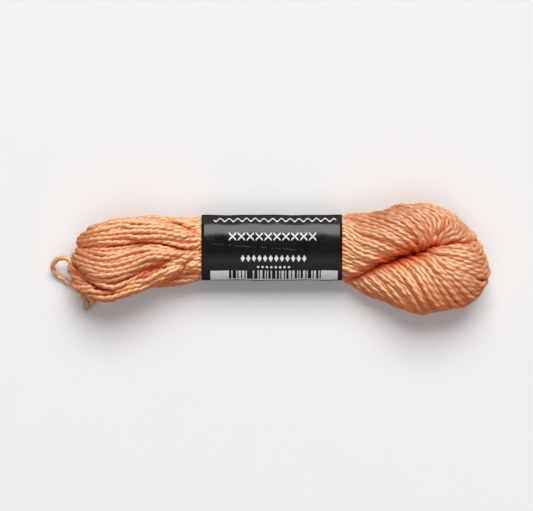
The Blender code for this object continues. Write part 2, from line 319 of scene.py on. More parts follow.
def measured_route(rows, pieces=40):
    """Fine rows of a route and each one's distance from the first."""
    fine = rows_between(rows, np.linspace(0, len(rows) - 1, (len(rows) - 1) * pieces + 1))
    steps = np.linalg.norm(np.diff(fine[:, :3], axis=0), axis=1)
    return np.concatenate([[0.0], np.cumsum(steps)]), fine


def rows_at(route, distance):
    """Values of a measured route at distances along it."""
    distances, fine = route
    return np.stack([np.interp(distance, distances, column) for column in fine.T], -1)


def unit(vectors):
    return vectors / np.maximum(np.linalg.norm(vectors, axis=-1, keepdims=True), 1e-9)


def bearing_vectors(degrees):
    """Level unit vectors at bearings in degrees."""
    bearing = np.radians(degrees)
    return np.stack([np.cos(bearing), np.sin(bearing), 0 * bearing], -1)


def eased(value):
    """Smooth step from 0 to 1: three squares less two cubes."""
    value = np.clip(value, 0.0, 1.0)
    return value * value * (3.0 - 2.0 * value)


def ring_slots(counts):
    """Places of strands in a round bundle, ring by ring: distance from the middle
    and angle. Ring k of n lies at (n - k - 0.5) / (n - 0.5)."""
    distance, angle = [], []
    total = len(counts)
    for ring, count in enumerate(counts):
        distance.append(np.full(count, (total - ring - 0.5) / (total - 0.5)))
        angle.append(2 * math.pi * (np.arange(count) + 0.37 * ring) / count)
    return np.concatenate(distance), np.concatenate(angle)


def spread(angle, wide, tall):
    """Angles that place strands evenly round an oval: the angle plus e / 2 * sine of
    twice it, where e is the difference of the squared half sizes over twice their sum."""
    wide, tall = wide ** 2, tall ** 2
    return angle + 0.25 * (wide - tall) / (wide + tall) * np.sin(2 * angle)


def band_oval(angle, inset):
    """Point of the band's section: y and z are the half sizes, less the inset, times
    cosine and sine raised to 2 / roundness, with the underside cut flat by the table."""
    power = 2.0 / BAND_ROUNDNESS
    across = np.sign(np.cos(angle)) * np.abs(np.cos(angle)) ** power
    up = np.sign(np.sin(angle)) * np.abs(np.sin(angle)) ** power
    y = BAND_MID_Y + (BAND_HALF_WIDTH - inset) * across
    z = np.maximum(BAND_MID_Z + (BAND_HALF_HEIGHT - inset) * up, inset)
    return y, z


def best_pairs(cost):
    """Pairs rows with columns: from the first pairing, the swap that lowers the
    summed cost the most is made until none does."""
    count = len(cost)
    choice = np.arange(count)
    rows = np.arange(count)
    for _ in range(40 * count):
        own = cost[rows, choice]
        swapped = cost[rows[:, None], choice[None, :]]
        gain = own[:, None] + own[None, :] - swapped - swapped.T
        best = int(np.argmax(gain))
        first, second = divmod(best, count)
        if gain[first, second] < 1e-9:
            break
        choice[first], choice[second] = choice[second], choice[first]
    return choice


def squared_distance(left, right):
    return ((left[:, None, :] - right[None, :, :]) ** 2).sum(-1)


def evenly_spaced(strands, stations):
    """The same strands with their points the same distance apart along each."""
    steps = np.linalg.norm(np.diff(strands, axis=1), axis=2)
    walked = np.concatenate([np.zeros((len(strands), 1)), np.cumsum(steps, axis=1)], axis=1)
    spaced = np.empty((len(strands), stations, 3))
    for number, strand in enumerate(strands):
        wanted = np.linspace(0, walked[number, -1], stations)
        spaced[number] = rows_at((walked[number], strand), wanted)
    return spaced


def fan_strands(rows, counts, stations, tip_rounding):
    """Strands of one fan, out along its top, round its end and back beneath. A strand
    stands at centre + across * half width * u + up * half height * v, and near the end
    it is drawn back by the rounding times u squared."""
    route = measured_route(rows)
    places = rows_at(route, np.linspace(0, route[0][-1], stations))
    along = unit(np.gradient(places[:, :3], axis=0))
    across = bearing_vectors(places[:, 5])
    up = unit(np.cross(across, along))
    distance, angle = ring_slots(counts)
    angle = spread(angle[:, None], places[None, :, 3], places[None, :, 4])[..., None]
    u, v = distance[:, None, None] * np.cos(angle), distance[:, None, None] * np.sin(angle)
    strands = (places[None, :, :3] + across * places[:, 3, None] * u + up * places[:, 4, None] * v)
    near_tip = eased((TIP_START - strands[..., 0]) / TIP_LENGTH)
    drawn_back = np.where(u > 0, tip_rounding[0], tip_rounding[1]) * u * u
    strands[..., 0] += near_tip * drawn_back[..., 0]
    return strands


def arm_strands(counts, stations, fineness=4):
    """Strands of the twisted arm, out over and back under. A strand keeps its distance
    from the arm's middle while its angle grows by the twist, and its place along the
    arm is shifted by the lead * cosine of that angle, so that it crosses the top fast."""
    distances, fine = measured_route(ARM)
    at_rows = np.linspace(0, len(ARM) - 1, len(distances))
    twist, lead = rows_at((np.arange(len(ARM_TWIST)), np.asarray(ARM_TWIST)), at_rows).T
    rate = np.radians(twist)
    turned = np.concatenate([[0.0], np.cumsum(0.5 * (rate[1:] + rate[:-1]) * np.diff(distances))])
    station = np.linspace(0, distances[-1], stations * fineness)
    distance, angle = ring_slots(counts)
    angle = angle[:, None] + np.interp(station, distances, turned)[None, :]
    distance = distance[:, None]
    shift = (np.interp(station, distances, lead)[None, :] * distance
             * np.cos(angle + math.radians(LEAD_ANGLE)))
    places = rows_at((distances, fine), np.clip(station[None, :] + shift, 0, distances[-1]))
    angle = spread(angle, places[..., 3], places[..., 4])
    out = (places[..., 3] - YARN_HALF) * distance * np.cos(angle)
    strands = places[..., :3] + bearing_vectors(places[..., 5]) * out[..., None]
    strands[..., 2] += (places[..., 4] - YARN_HALF) * distance * np.sin(angle)
    return evenly_spaced(strands, stations)


def inner_tube(rows, upright, share, stations=100, sides=30):
    """Closed tube a little inside a bundle's outer strands, for the turns that lie
    packed there: each ring is the route's section with its half sizes times the share,
    and is lowered along the grooves like the strands."""
    route = measured_route(rows)
    places = rows_at(route, np.linspace(0, route[0][-1], stations))
    across = bearing_vectors(places[:, 5])
    if upright:
        up = np.array([0.0, 0.0, 1.0]) + 0 * across
    else:
        up = unit(np.cross(across, np.gradient(places[:, :3], axis=0)))
    half = np.maximum((places[:, 3:5] - YARN_HALF) * share, 0.25)
    angle = 2 * math.pi * np.arange(sides) / sides
    rings = (places[:, None, :3] + (across * half[:, :1])[:, None] * np.cos(angle)[:, None]
             + (up * half[:, 1:])[:, None] * np.sin(angle)[:, None])
    faces, caps = tube_faces(1, stations, sides, False), tube_caps(stations, sides)
    return pressed(rings.reshape(-1, 3)), faces, caps


def yarn_loops():
    """Closed paths of the ring's turns before they settle, in millimetres: an array
    of turns x stations x 3, and for each station whether it lies inside the band."""
    upper = fan_strands(UPPER_FAN, UPPER_RINGS, FAN_STATIONS, (3.0, 1.0))
    lower = np.concatenate([
        fan_strands(LOWER_FAN, LOWER_RINGS, FAN_STATIONS, (0.6, 0.8)),
        fan_strands(EDGE_FAN, EDGE_RINGS, FAN_STATIONS, (0.0, 0.0)),
    ])
    arm = arm_strands(ARM_RINGS, ARM_STATIONS)

    distance, angle = ring_slots(BAND_RINGS)
    inner = 1.0 - (1.0 - distance) * 0.98
    oval_y, oval_z = band_oval(angle, 1.22)
    middle = np.array([BAND_MID_Y, BAND_MID_Z + 0.2])
    slots = middle + inner[:, None] * (np.stack([oval_y, oval_z], -1) - middle)

    def slots_for(*bundles):
        """The band's slots dealt out to the first and last points of bundles."""
        ends = np.concatenate([bundle[:, end, 1:] for bundle in bundles for end in (0, -1)])
        return slots[best_pairs(squared_distance(ends, slots))]

    left_slots, right_slots = slots_for(upper, lower), slots_for(arm)

    top_choice = best_pairs(squared_distance(left_slots[:2 * TURNS], right_slots[:2 * TURNS]))
    over_first, over_second = top_choice[:TURNS], top_choice[TURNS:]
    under = right_slots[2 * TURNS:]
    bottom_cost = (squared_distance(under[over_first], left_slots[2 * TURNS:3 * TURNS])
                   + squared_distance(under[over_second], left_slots[3 * TURNS:]))
    lower_choice = best_pairs(bottom_cost)

    def bent_to(strands, start_slots, end_slots):
        """Strands led into the band's slots over their stations nearest to the band."""
        strands = strands.copy()
        for slots_yz, edge, order in ((start_slots, strands[:, :1], 1),
                                      (end_slots, strands[:, -1:], -1)):
            away = np.abs(strands[..., 0] - edge[..., 0])
            steps = np.arange(strands.shape[1])[::order]
            near = (1 - eased(away / BEND_LENGTH)) * (steps < BEND_STATIONS)[None, :]
            strands[..., 1:] += near[..., None] * (slots_yz[:, None, :] - edge[..., 1:])
        return strands

    upper = bent_to(upper, left_slots[:TURNS], left_slots[TURNS:2 * TURNS])
    lower = bent_to(lower, left_slots[2 * TURNS:3 * TURNS], left_slots[3 * TURNS:])[lower_choice]
    arm = bent_to(arm, right_slots[:2 * TURNS], right_slots[2 * TURNS:])

    def through_band(start, end):
        share = np.linspace(0, 1, BAND_STATIONS + 2)[1:-1]
        path = np.empty((len(start), BAND_STATIONS, 3))
        path[..., 0] = start[:, None, 0] + (end - start)[:, None, 0] * share
        path[..., 1:] = start[:, None, 1:] + (end - start)[:, None, 1:] * eased(share)[:, None]
        return path

    out, back = arm[over_first], arm[over_second][:, ::-1]
    parts = [
        upper[:, ::-1],
        through_band(upper[:, 0], out[:, 0]),
        out,
        through_band(out[:, -1], lower[:, 0]),
        lower,
        through_band(lower[:, -1], back[:, 0]),
        back,
        through_band(back[:, -1], upper[:, -1]),
    ]
    in_band = np.concatenate([np.full(part.shape[1], index % 2 == 1)
                              for index, part in enumerate(parts)])
    return np.concatenate(parts, axis=1), in_band


def wander(count, stations, seed, size, lengths):
    """Slow sideways drift of each strand: sums of sines along it with random phases."""
    random = np.random.default_rng(seed)
    along = np.linspace(0, 2 * math.pi, stations, endpoint=False)
    drift = np.zeros((count, stations, 3))
    for waves in lengths:
        phase = random.uniform(0, 2 * math.pi, (count, 1, 3))
        strength = random.normal(0, 1, (count, 1, 3))
        drift += strength * np.sin(waves * along[None, :, None] + phase)
    return drift * size / math.sqrt(len(lengths))


def near_pairs(points, strand, place, stations, reach):
    """Pairs of points within reach of each other that aren't neighbours on one strand.
    Points are sorted by the box of that size that holds them, and each box is compared
    with itself and half of its neighbours."""
    cell = np.floor((points - points.min(0)) / reach).astype(np.int64) + 1
    size = cell.max(0) + 2
    key = (cell[:, 0] * size[1] + cell[:, 1]) * size[2] + cell[:, 2]
    order = np.argsort(key, kind="stable")
    sorted_key = key[order]
    firsts, seconds = [], []
    around = (-1, 0, 1)
    steps = [(i, j, k) for i in (0, 1) for j in around for k in around if (i, j, k) >= (0, 0, 0)]
    for i, j, k in steps:
        wanted = key + (i * size[1] + j) * size[2] + k
        start = np.searchsorted(sorted_key, wanted, "left")
        count = np.searchsorted(sorted_key, wanted, "right") - start
        first = np.repeat(np.arange(len(points)), count)
        within = np.arange(count.sum()) - np.repeat(np.cumsum(count) - count, count)
        second = order[np.repeat(start, count) + within]
        if (i, j, k) == (0, 0, 0):
            keep = first < second
            first, second = first[keep], second[keep]
        firsts.append(first)
        seconds.append(second)
    first, second = np.concatenate(firsts), np.concatenate(seconds)
    apart = np.abs(place[first] - place[second])
    apart = np.minimum(apart, stations - apart)
    keep = (strand[first] != strand[second]) | (apart > 5)
    first, second = first[keep], second[keep]
    close = ((points[first] - points[second]) ** 2).sum(1) < reach * reach
    return first[close], second[close]


def settled(guide, in_band, width, rounds):
    """The strands pushed off each other and off the table until they lie side by side.
    Each round moves a pair that is closer than the width, which shrinks near the band,
    apart by half of what is missing each, smooths the drift from the guide along the
    strand, and draws every point a little back to its guide."""
    turns, stations, _ = guide.shape
    points = guide.copy()
    free = np.flatnonzero(~in_band)
    strand = np.repeat(np.arange(turns), len(free))
    place = np.tile(free, turns)
    for round_number in range(rounds):
        flat = points[:, free].reshape(-1, 3)
        if round_number % SEARCH_EVERY == 0:
            first, second = near_pairs(flat, strand, place, stations, width * 1.25)
            beyond = np.maximum(BAND_LEFT - flat[first, 0], flat[first, 0] - BAND_RIGHT)
            apart = width * (SQUEEZED + (1.0 - SQUEEZED) * eased(beyond / SQUEEZE_LENGTH))
        gap = flat[second] - flat[first]
        length = np.sqrt((gap ** 2).sum(1)) + 1e-9
        push = np.maximum(apart - length, 0.0)
        touching = (push > 0).astype(float)
        touches = np.bincount(first, touching, len(flat)) + np.bincount(second, touching, len(flat))
        move = gap * (0.5 * push / length)[:, None]
        shift = np.stack([np.bincount(second, move[:, axis], len(flat))
                          - np.bincount(first, move[:, axis], len(flat)) for axis in range(3)], -1)
        shift /= (1.0 + 0.3 * np.maximum(touches - 1.0, 0.0))[:, None]
        points[:, free] += shift.reshape(turns, len(free), 3)
        away = points - guide
        away[:, in_band] = 0.0
        smooth = 0.5 * (np.roll(away, 1, axis=1) + np.roll(away, -1, axis=1))
        away += SMOOTHING * (smooth - away)
        away *= KEPT_DRIFT
        points = guide + away
        points[..., 2] = np.maximum(points[..., 2], width * 0.5)
        points = gripped(points)
    return points


def gripped(points):
    """Strands next to the band kept within an oval that grows out of the band's own:
    its half sizes grow with the distance from the band's end."""
    x, y, z = points[..., 0], points[..., 1] - BAND_MID_Y, points[..., 2] - BAND_MID_Z
    beyond = np.maximum(np.maximum(BAND_LEFT - x, x - BAND_RIGHT), 0.0)
    growth = np.where(x < 0, GRIP_GROWTH_LEFT, GRIP_GROWTH_RIGHT)
    across = BAND_HALF_WIDTH - GRIP_INSET + growth * beyond
    up = BAND_HALF_HEIGHT - GRIP_INSET + GRIP_GROWTH_UP * beyond
    power = BAND_ROUNDNESS
    reach = ((np.abs(y) / across) ** power + (np.abs(z) / up) ** power) ** (1 / power)
    share = np.where(beyond < GRIP_LENGTH, 1.0 / np.maximum(reach, 1.0), 1.0)
    return np.stack([x, y * share + BAND_MID_Y, z * share + BAND_MID_Z], -1)


def groove_depth(points, widths):
    """Depth below the bundles' tops at each point: the greatest over all grooves of
    depth * exp(-(distance from the groove's line / half width) squared). The half
    widths are the table's times the groove's own entry in widths, or times 1."""
    flat = points[..., :2].reshape(-1, 2)
    lowered = np.zeros(len(flat))
    for name, rows in GROOVES.items():
        rows = np.asarray(rows, float)
        for start, end in zip(rows, rows[1:]):
            along = end[:2] - start[:2]
            share = np.clip((flat - start[:2]) @ along / (along @ along), 0.0, 1.0)
            away = ((flat - start[:2] - share[:, None] * along) ** 2).sum(1)
            depth = start[2] + (end[2] - start[2]) * share
            half_width = (start[3] + (end[3] - start[3]) * share) * widths.get(name, 1.0)
            lowered = np.maximum(lowered, depth * np.exp(-away / half_width ** 2))
    return lowered.reshape(points.shape[:-1])


def strength_at(points, places):
    """Strength at each point: the sum over the places, seen from above, of
    strength * exp(-(distance / radius) squared)."""
    total = np.zeros(points.shape[:-1])
    for x, y, radius, strength in places:
        away = (points[..., 0] - x) ** 2 + (points[..., 1] - y) ** 2
        total += strength * np.exp(-away / radius ** 2)
    return total


def pressed(points):
    """Strands lowered along the grooves between bundles, less below the top ones, and
    drawn in where a groove ends in a notch of the far end's outline."""
    points = points.copy()
    lowered = groove_depth(points, {})
    points[..., 2] -= lowered * eased((points[..., 2] - PRESSED_FROM) / PRESSED_RANGE)
    points[..., 0] -= NOTCH_SHARE * lowered * eased((points[..., 0] - NOTCH_X) / NOTCH_RANGE)
    return points


def ring_stations(points, in_band, spacing, hidden_spacing):
    """Where the mesh has its rings, counted in stations for each closed path: a spacing
    apart outside the band and far apart inside it, where they aren't seen."""
    stations = len(in_band)
    hidden = in_band.copy()
    for step in (1, 2):
        hidden &= np.roll(in_band, step) & np.roll(in_band, -step)
    lengths = np.linalg.norm(np.roll(points, -1, axis=1) - points, axis=2)
    counted = np.cumsum(lengths / np.where(hidden, hidden_spacing, spacing), axis=1)
    total = int(round(counted[:, -1].mean()))
    at = np.empty((len(points), total))
    for number, row in enumerate(counted):
        row = np.concatenate([[0.0], row])
        at[number] = np.interp(np.arange(total) * row[-1] / total, row, np.arange(stations + 1))
    return at, hidden


def resampled(points, at):
    """Points between the stations of closed paths, on Catmull-Rom curves."""
    stations = points.shape[1]
    here = np.floor(at).astype(int)
    t = (at - here)[..., None]
    number = np.arange(len(points))[:, None]
    before, start, end, after = (points[number, (here + step) % stations] for step in (-1, 0, 1, 2))
    return catmull_rom(before, start, end, after, t)


def mirrored(vectors, across):
    """Vectors mirrored in the plane square to other vectors."""
    square = np.maximum((across * across).sum(-1, keepdims=True), 1e-18)
    return vectors - 2 * (across * vectors).sum(-1, keepdims=True) / square * across


def carried_sides(path, closed):
    """Side vectors carried along paths without twisting: each is the one before it,
    mirrored in the plane halfway between two points and again in the one that turns
    the mirrored direction of travel into the next."""
    if closed:
        along = unit(np.roll(path, -1, axis=1) - np.roll(path, 1, axis=1))
    else:
        along = unit(np.gradient(path, axis=1))
    sides = np.empty_like(path)
    helper = np.where(np.abs(along[:, 0, 2:3]) < 0.9, [[0.0, 0.0, 1.0]], [[0.0, 1.0, 0.0]])
    side = unit(np.cross(along[:, 0], helper))
    sides[:, 0] = side

    def carry(side, here, there, along_here, along_there):
        step = there - here
        return mirrored(mirrored(side, step), along_there - mirrored(along_here, step))

    for ring in range(path.shape[1] - 1):
        side = carry(side, path[:, ring], path[:, ring + 1], along[:, ring], along[:, ring + 1])
        sides[:, ring + 1] = side
    left_over = np.zeros(len(path))
    if closed:
        last = carry(side, path[:, -1], path[:, 0], along[:, -1], along[:, 0])
        other = np.cross(along[:, 0], sides[:, 0])
        left_over = np.arctan2((last * other).sum(-1), (last * sides[:, 0]).sum(-1))
    return along, sides, left_over


def fibre_tubes(start, direction, bend, radius):
    """Thin tapering tubes, one for each start: a path runs start + t * direction +
    t squared * bend, and its radius falls to 0.4 of the first. Returns points, faces, caps."""
    t = np.linspace(0, 1, FIBRE_RINGS)[None, :, None]
    path = start[:, None] + t * direction[:, None] + t ** 2 * bend[:, None]
    path[..., 2] = np.maximum(path[..., 2], 0.06)
    along, sides, _ = carried_sides(path, False)
    others = np.cross(along, sides)
    angle = 2 * math.pi * np.arange(FIBRE_SIDES) / FIBRE_SIDES
    reach = (radius * (1.0 - 0.6 * t))[..., None]
    points = path[:, :, None] + reach * (sides[:, :, None] * np.cos(angle)[:, None]
                                         + others[:, :, None] * np.sin(angle)[:, None])
    firsts = np.arange(len(start)) * FIBRE_RINGS * FIBRE_SIDES
    caps = [first + cap for first in firsts for cap in tube_caps(FIBRE_RINGS, FIBRE_SIDES)]
    return points.reshape(-1, 3), tube_faces(len(start), FIBRE_RINGS, FIBRE_SIDES, False), caps


def stray_fibres(path, surface, hidden, lift=1.1, clear=1.45):
    """Fibres that lift off the outside of the hank. Surface points are drawn at random,
    and one is kept if no strand lies within the clear distance of the place lifted
    straight off it."""
    random = np.random.default_rng(21)
    turn = random.integers(0, len(path), STRAY_TRIES)
    ring = random.integers(0, path.shape[1], STRAY_TRIES)
    side = random.integers(0, surface.shape[2], STRAY_TRIES)
    start = surface[turn, ring, side]
    outward = unit(start - path[turn, ring])
    beside_band = np.abs(start[:, 0] - BARE_X) > BARE_DISTANCE
    seen = ~hidden[turn, ring] & (start[:, 2] > 1.5) & beside_band
    start, outward, turn, ring = start[seen], outward[seen], turn[seen], ring[seen]
    tip = start + lift * outward
    others = path[:, ::6].reshape(-1, 3)
    nearest = np.full(len(tip), 1e9)
    for block in np.array_split(others, 24):
        nearest = np.minimum(nearest, ((tip[:, None] - block[None]) ** 2).sum(-1).min(1))
    free = np.flatnonzero(nearest > clear ** 2)[:STRAY_FIBRES]
    start, outward, turn, ring = start[free], outward[free], turn[free], ring[free]
    travel = unit(path[turn, (ring + 1) % path.shape[1]] - path[turn, ring])
    length = random.uniform(1.0, 2.8, (len(start), 1))
    loose = random.normal(0, 1, (2, len(start), 3))
    heading = unit(travel * random.choice([-1.0, 1.0], (len(start), 1))
                   + 0.55 * outward + 0.35 * loose[0])
    return fibre_tubes(start - 0.05 * outward, heading * length, 0.35 * length * loose[1], 0.035)


def ply_section(width):
    """Outline of two soft plies side by side: distance from the middle at an angle is
    width * (0.448 + 0.05 cos(twice the angle) - 0.044 in a narrow groove on each side)."""
    angle = 2 * math.pi * np.arange(PLY_POINTS) / PLY_POINTS
    groove = np.exp(-(np.cos(angle) / 0.3) ** 2)
    return angle, width * (0.448 + 0.050 * np.cos(2 * angle) - 0.044 * groove)


def yarn_surface(path, width, ply_turn, twisting, closed, swell=None):
    """Two-ply yarn along paths: the ply section turns left-handed, once round in a ply
    turn times the twisting. Returns points (paths x rings x section) and distance along."""
    along, sides, left_over = carried_sides(path, closed)
    following = np.roll(path, -1, axis=1)
    if not closed:
        following[:, -1] = path[:, -1]
    step = np.linalg.norm(following - path, axis=-1)
    run = np.cumsum(step, axis=1) - step
    turning = np.cumsum(step * twisting, axis=1) - step * twisting
    whole = (step * twisting).sum(1)
    share = turning / np.maximum(whole, 1e-9)[:, None]
    phase = -2 * math.pi * turning / ply_turn
    if closed:
        turns = np.round(whole / ply_turn)
        phase = -(2 * math.pi * turns + left_over)[:, None] * share
    angle, reach = ply_section(width)
    if swell is None:
        swell = np.ones(path.shape[:2])
    spun = phase[..., None] + angle
    others = np.cross(along, sides)
    reach = reach * swell[..., None]
    surface = (path[:, :, None, :] + sides[:, :, None, :] * (reach * np.cos(spun))[..., None]
               + others[:, :, None, :] * (reach * np.sin(spun))[..., None])
    return surface, run


def tube_faces(tubes, rings, sides, closed):
    """Corner numbers of the quads of tubes whose rings follow each other."""
    ring = np.arange(rings if closed else rings - 1)[:, None]
    first = np.arange(tubes)[:, None, None] * rings
    side = np.arange(sides)
    here = (first + ring) * sides + side
    there = (first + (ring + 1) % rings) * sides + side
    right = np.roll(side, -1) - side
    return np.stack([here, here + right, there + right, there], -1).reshape(-1, 4)


def tube_caps(rings, sides):
    """Corner numbers of the outlines at both ends of an open tube."""
    return [np.arange(sides)[::-1], (rings - 1) * sides + np.arange(sides)]


def mesh_piece(name, points, faces, material, uv=None, numbers=None, caps=()):
    """Mesh object from whole arrays. points in millimetres; uv holds one pair for each
    face corner; numbers are named values for each point; caps are outlines to close."""
    mesh = bpy.data.meshes.new(name)
    quads = faces.astype(np.int32)
    extra = [np.asarray(cap, np.int32) for cap in caps]
    loops = np.concatenate([quads.ravel()] + extra)
    sizes = np.array([4] * len(quads) + [len(cap) for cap in extra], np.int32)
    mesh.vertices.add(len(points))
    mesh.vertices.foreach_set("co", (np.asarray(points, np.float32) * MM).ravel())
    mesh.loops.add(len(loops))
    mesh.loops.foreach_set("vertex_index", loops)
    mesh.polygons.add(len(sizes))
    mesh.polygons.foreach_set("loop_start", (np.cumsum(sizes) - sizes).astype(np.int32))
    mesh.polygons.foreach_set("loop_total", sizes)
    mesh.update(calc_edges=True)
    if uv is not None:
        layer = mesh.uv_layers.new(name="run")
        flat = np.zeros((len(loops), 2), np.float32)
        flat[:len(uv)] = uv
        layer.data.foreach_set("uv", flat.ravel())
    for key, values in (numbers or {}).items():
        attribute = mesh.attributes.new(key, "FLOAT", "POINT")
        attribute.data.foreach_set("value", np.asarray(values, np.float32))
    mesh.validate()
    mesh.shade_smooth()
    mesh.materials.append(material)
    piece = bpy.data.objects.new(name, mesh)
    bpy.context.scene.collection.objects.link(piece)
    return piece


def corner_uv(faces, along, around):
    """UV of quad corners on tubes: distance along and share round, unbroken at the seam."""
    u = along[faces]
    v = around[faces]
    wrap = (v.max(1) - v.min(1)) > 0.5
    v = np.where(wrap[:, None] & (v < 0.5), v + 1.0, v)
    return np.stack([u, v], -1).reshape(-1, 2)


# ------------------------------------------------------------------ materials

class Wiring:
    """Short way to add nodes and links to one material."""

    def __init__(self, name):
        self.material = bpy.data.materials.new(name)
        self.material.use_nodes = True
        self.tree = self.material.node_tree
        self.shader = self.tree.nodes["Principled BSDF"]

    def put(self, node, key, value):
        if isinstance(value, bpy.types.NodeSocket):
            self.tree.links.new(value, node.inputs[key])
        else:
            node.inputs[key].default_value = value

    def node(self, kind, values=None, **settings):
        node = self.tree.nodes.new(kind)
        for key, value in settings.items():
            setattr(node, key, value)
        for key, value in (values or {}).items():
            self.put(node, key, value)
        return node

    def set(self, **values):
        for key, value in values.items():
            self.put(self.shader, key.replace("_", " "), value)

    def calc(self, operation, *values):
        return self.node("ShaderNodeMath", dict(enumerate(values)), operation=operation).outputs[0]

    plus = functools.partialmethod(calc, "ADD")
    minus = functools.partialmethod(calc, "SUBTRACT")
    times = functools.partialmethod(calc, "MULTIPLY")
    larger = functools.partialmethod(calc, "MAXIMUM")
    below = functools.partialmethod(calc, "LESS_THAN")
    size = functools.partialmethod(calc, "ABSOLUTE")

    def inside(self, value, low, high):
        return self.times(self.calc("GREATER_THAN", value, low), self.below(value, high))

    def ramp(self, value, low, high, out_low=0.0, out_high=1.0):
        values = dict(enumerate((value, low, high, out_low, out_high)))
        return self.node("ShaderNodeMapRange", values, clamp=True).outputs[0]

    def mix(self, share, first, second, blend="MIX"):
        node = self.node("ShaderNodeMix", data_type="RGBA", blend_type=blend)
        for index, value in ((0, share), (6, first), (7, second)):
            if not isinstance(value, (float, bpy.types.NodeSocket)):
                value = (*value, 1.0)
            self.put(node, index, value)
        return node.outputs[2]

    def noise(self, vector, scale, detail=2.0, roughness=0.5):
        values = {"Vector": vector, "Scale": scale, "Detail": detail, "Roughness": roughness}
        return self.node("ShaderNodeTexNoise", values).outputs["Fac"]

    def attribute(self, name):
        return self.node("ShaderNodeAttribute", attribute_name=name).outputs["Fac"]

    def place(self):
        return self.node("ShaderNodeTexCoord").outputs["Object"]

    def run(self):
        return self.node("ShaderNodeUVMap", uv_map="run").outputs[0]


def silk_material(name, colours, painted_flank_shade=1.0, painted_light=0.0):
    """Dyed silk yarn: strands take the dye a little differently, fine fibres run along
    the plies, and light glances off their backs. Shade is painted into the colour: the
    first number after the colours is how far its shaded flanks get painted shade, and the
    second how far a lone yarn is painted paler than one in the hank, as painted light."""
    w = Wiring(name)
    run = w.run()
    stretched = w.node("ShaderNodeMapping", {"Vector": run, "Scale": (0.55, 9.0, 1.0)}).outputs[0]
    fibres = w.noise(stretched, 2.2, 3.0, 0.65)
    mottle = w.noise(w.place(), 210.0)
    dye = w.plus(w.times(w.attribute("shade"), 0.65), w.times(mottle, 0.35))
    colour = w.mix(w.ramp(dye, 0.2, 0.8, 0.8, 1.0), colours.silk_deep_dye_and_shade, colours.silk)
    # Darker and browner round the listed places
    colour = w.mix(w.attribute("dye"), colour, colours.silk_darker)
    streaks = w.mix(w.ramp(fibres, 0.3, 0.7), (0.84, 0.78, 0.74), (1.08, 1.11, 1.13))
    colour = w.mix(1.0, colour, streaks, "MULTIPLY")
    # Painted shade: the colour turns to the deep colour in the grooves between plies, in
    # the gaps found by ambient occlusion and on flanks facing away from LIT_SIDE, the lamp's
    # direction
    turn = w.node("ShaderNodeSeparateXYZ", {"Vector": run}).outputs[1]
    groove = w.calc("COSINE", w.times(turn, 4 * math.pi))
    occlusion = w.node("ShaderNodeAmbientOcclusion", {"Distance": 0.0025}, samples=5)
    open_sky = occlusion.outputs["AO"]
    normal = w.node("ShaderNodeNewGeometry").outputs["Normal"]
    lit = w.node("ShaderNodeVectorMath", {0: normal, 1: LIT_SIDE}, operation="DOT_PRODUCT")
    shaded = w.times(w.ramp(lit.outputs["Value"], 0.85, 0.0, 0.0, painted_flank_shade),
                     w.ramp(open_sky, 0.9, 0.55, 0.85, 1.0))
    deep = w.larger(w.ramp(groove, 0.2, -1.0, 0.0, 0.1), shaded)
    deep = w.larger(deep, w.ramp(open_sky, 0.5, 0.05, 0.0, 0.8))
    colour = w.mix(deep, colour, colours.silk_deep_dye_and_shade)
    # Painted shade deep in the folds between bundles: the fold colour
    fold = w.attribute("fold")
    colour = w.mix(w.ramp(fold, 0.7, 2.7, 0.0, 0.95), colour, colours.silk_fold_shade)
    # Painted light: a lone yarn's colour is made paler, standing in for the light that passes
    # through it
    colour = w.mix(painted_light, colour, (1.0, 0.86, 0.66))
    # Painted shade on the gloss: less of it where ambient occlusion finds the yarn hemmed in and
    # deep in the folds
    glance = w.times(w.ramp(open_sky, 0.1, 0.7, 0.2, 1.0), w.ramp(fold, 1.2, 2.6, 1.0, 0.1))
    bump = w.node("ShaderNodeBump", {"Strength": 0.6, "Distance": 0.0001, "Height": fibres})
    w.set(Base_Color=colour, IOR=1.95, Roughness=w.ramp(fibres, 0.2, 0.8, 0.42, 0.56),
          Normal=bump.outputs[0], Specular_IOR_Level=glance, Specular_Tint=(1.0, 0.97, 0.81, 1.0),
          Subsurface_Weight=0.8, Subsurface_Radius=(1.0, 0.8, 0.65), Subsurface_Scale=0.0004,
          Sheen_Weight=0.12, Sheen_Roughness=0.4, Sheen_Tint=(1.0, 0.80, 0.62, 1.0))
    return w.material


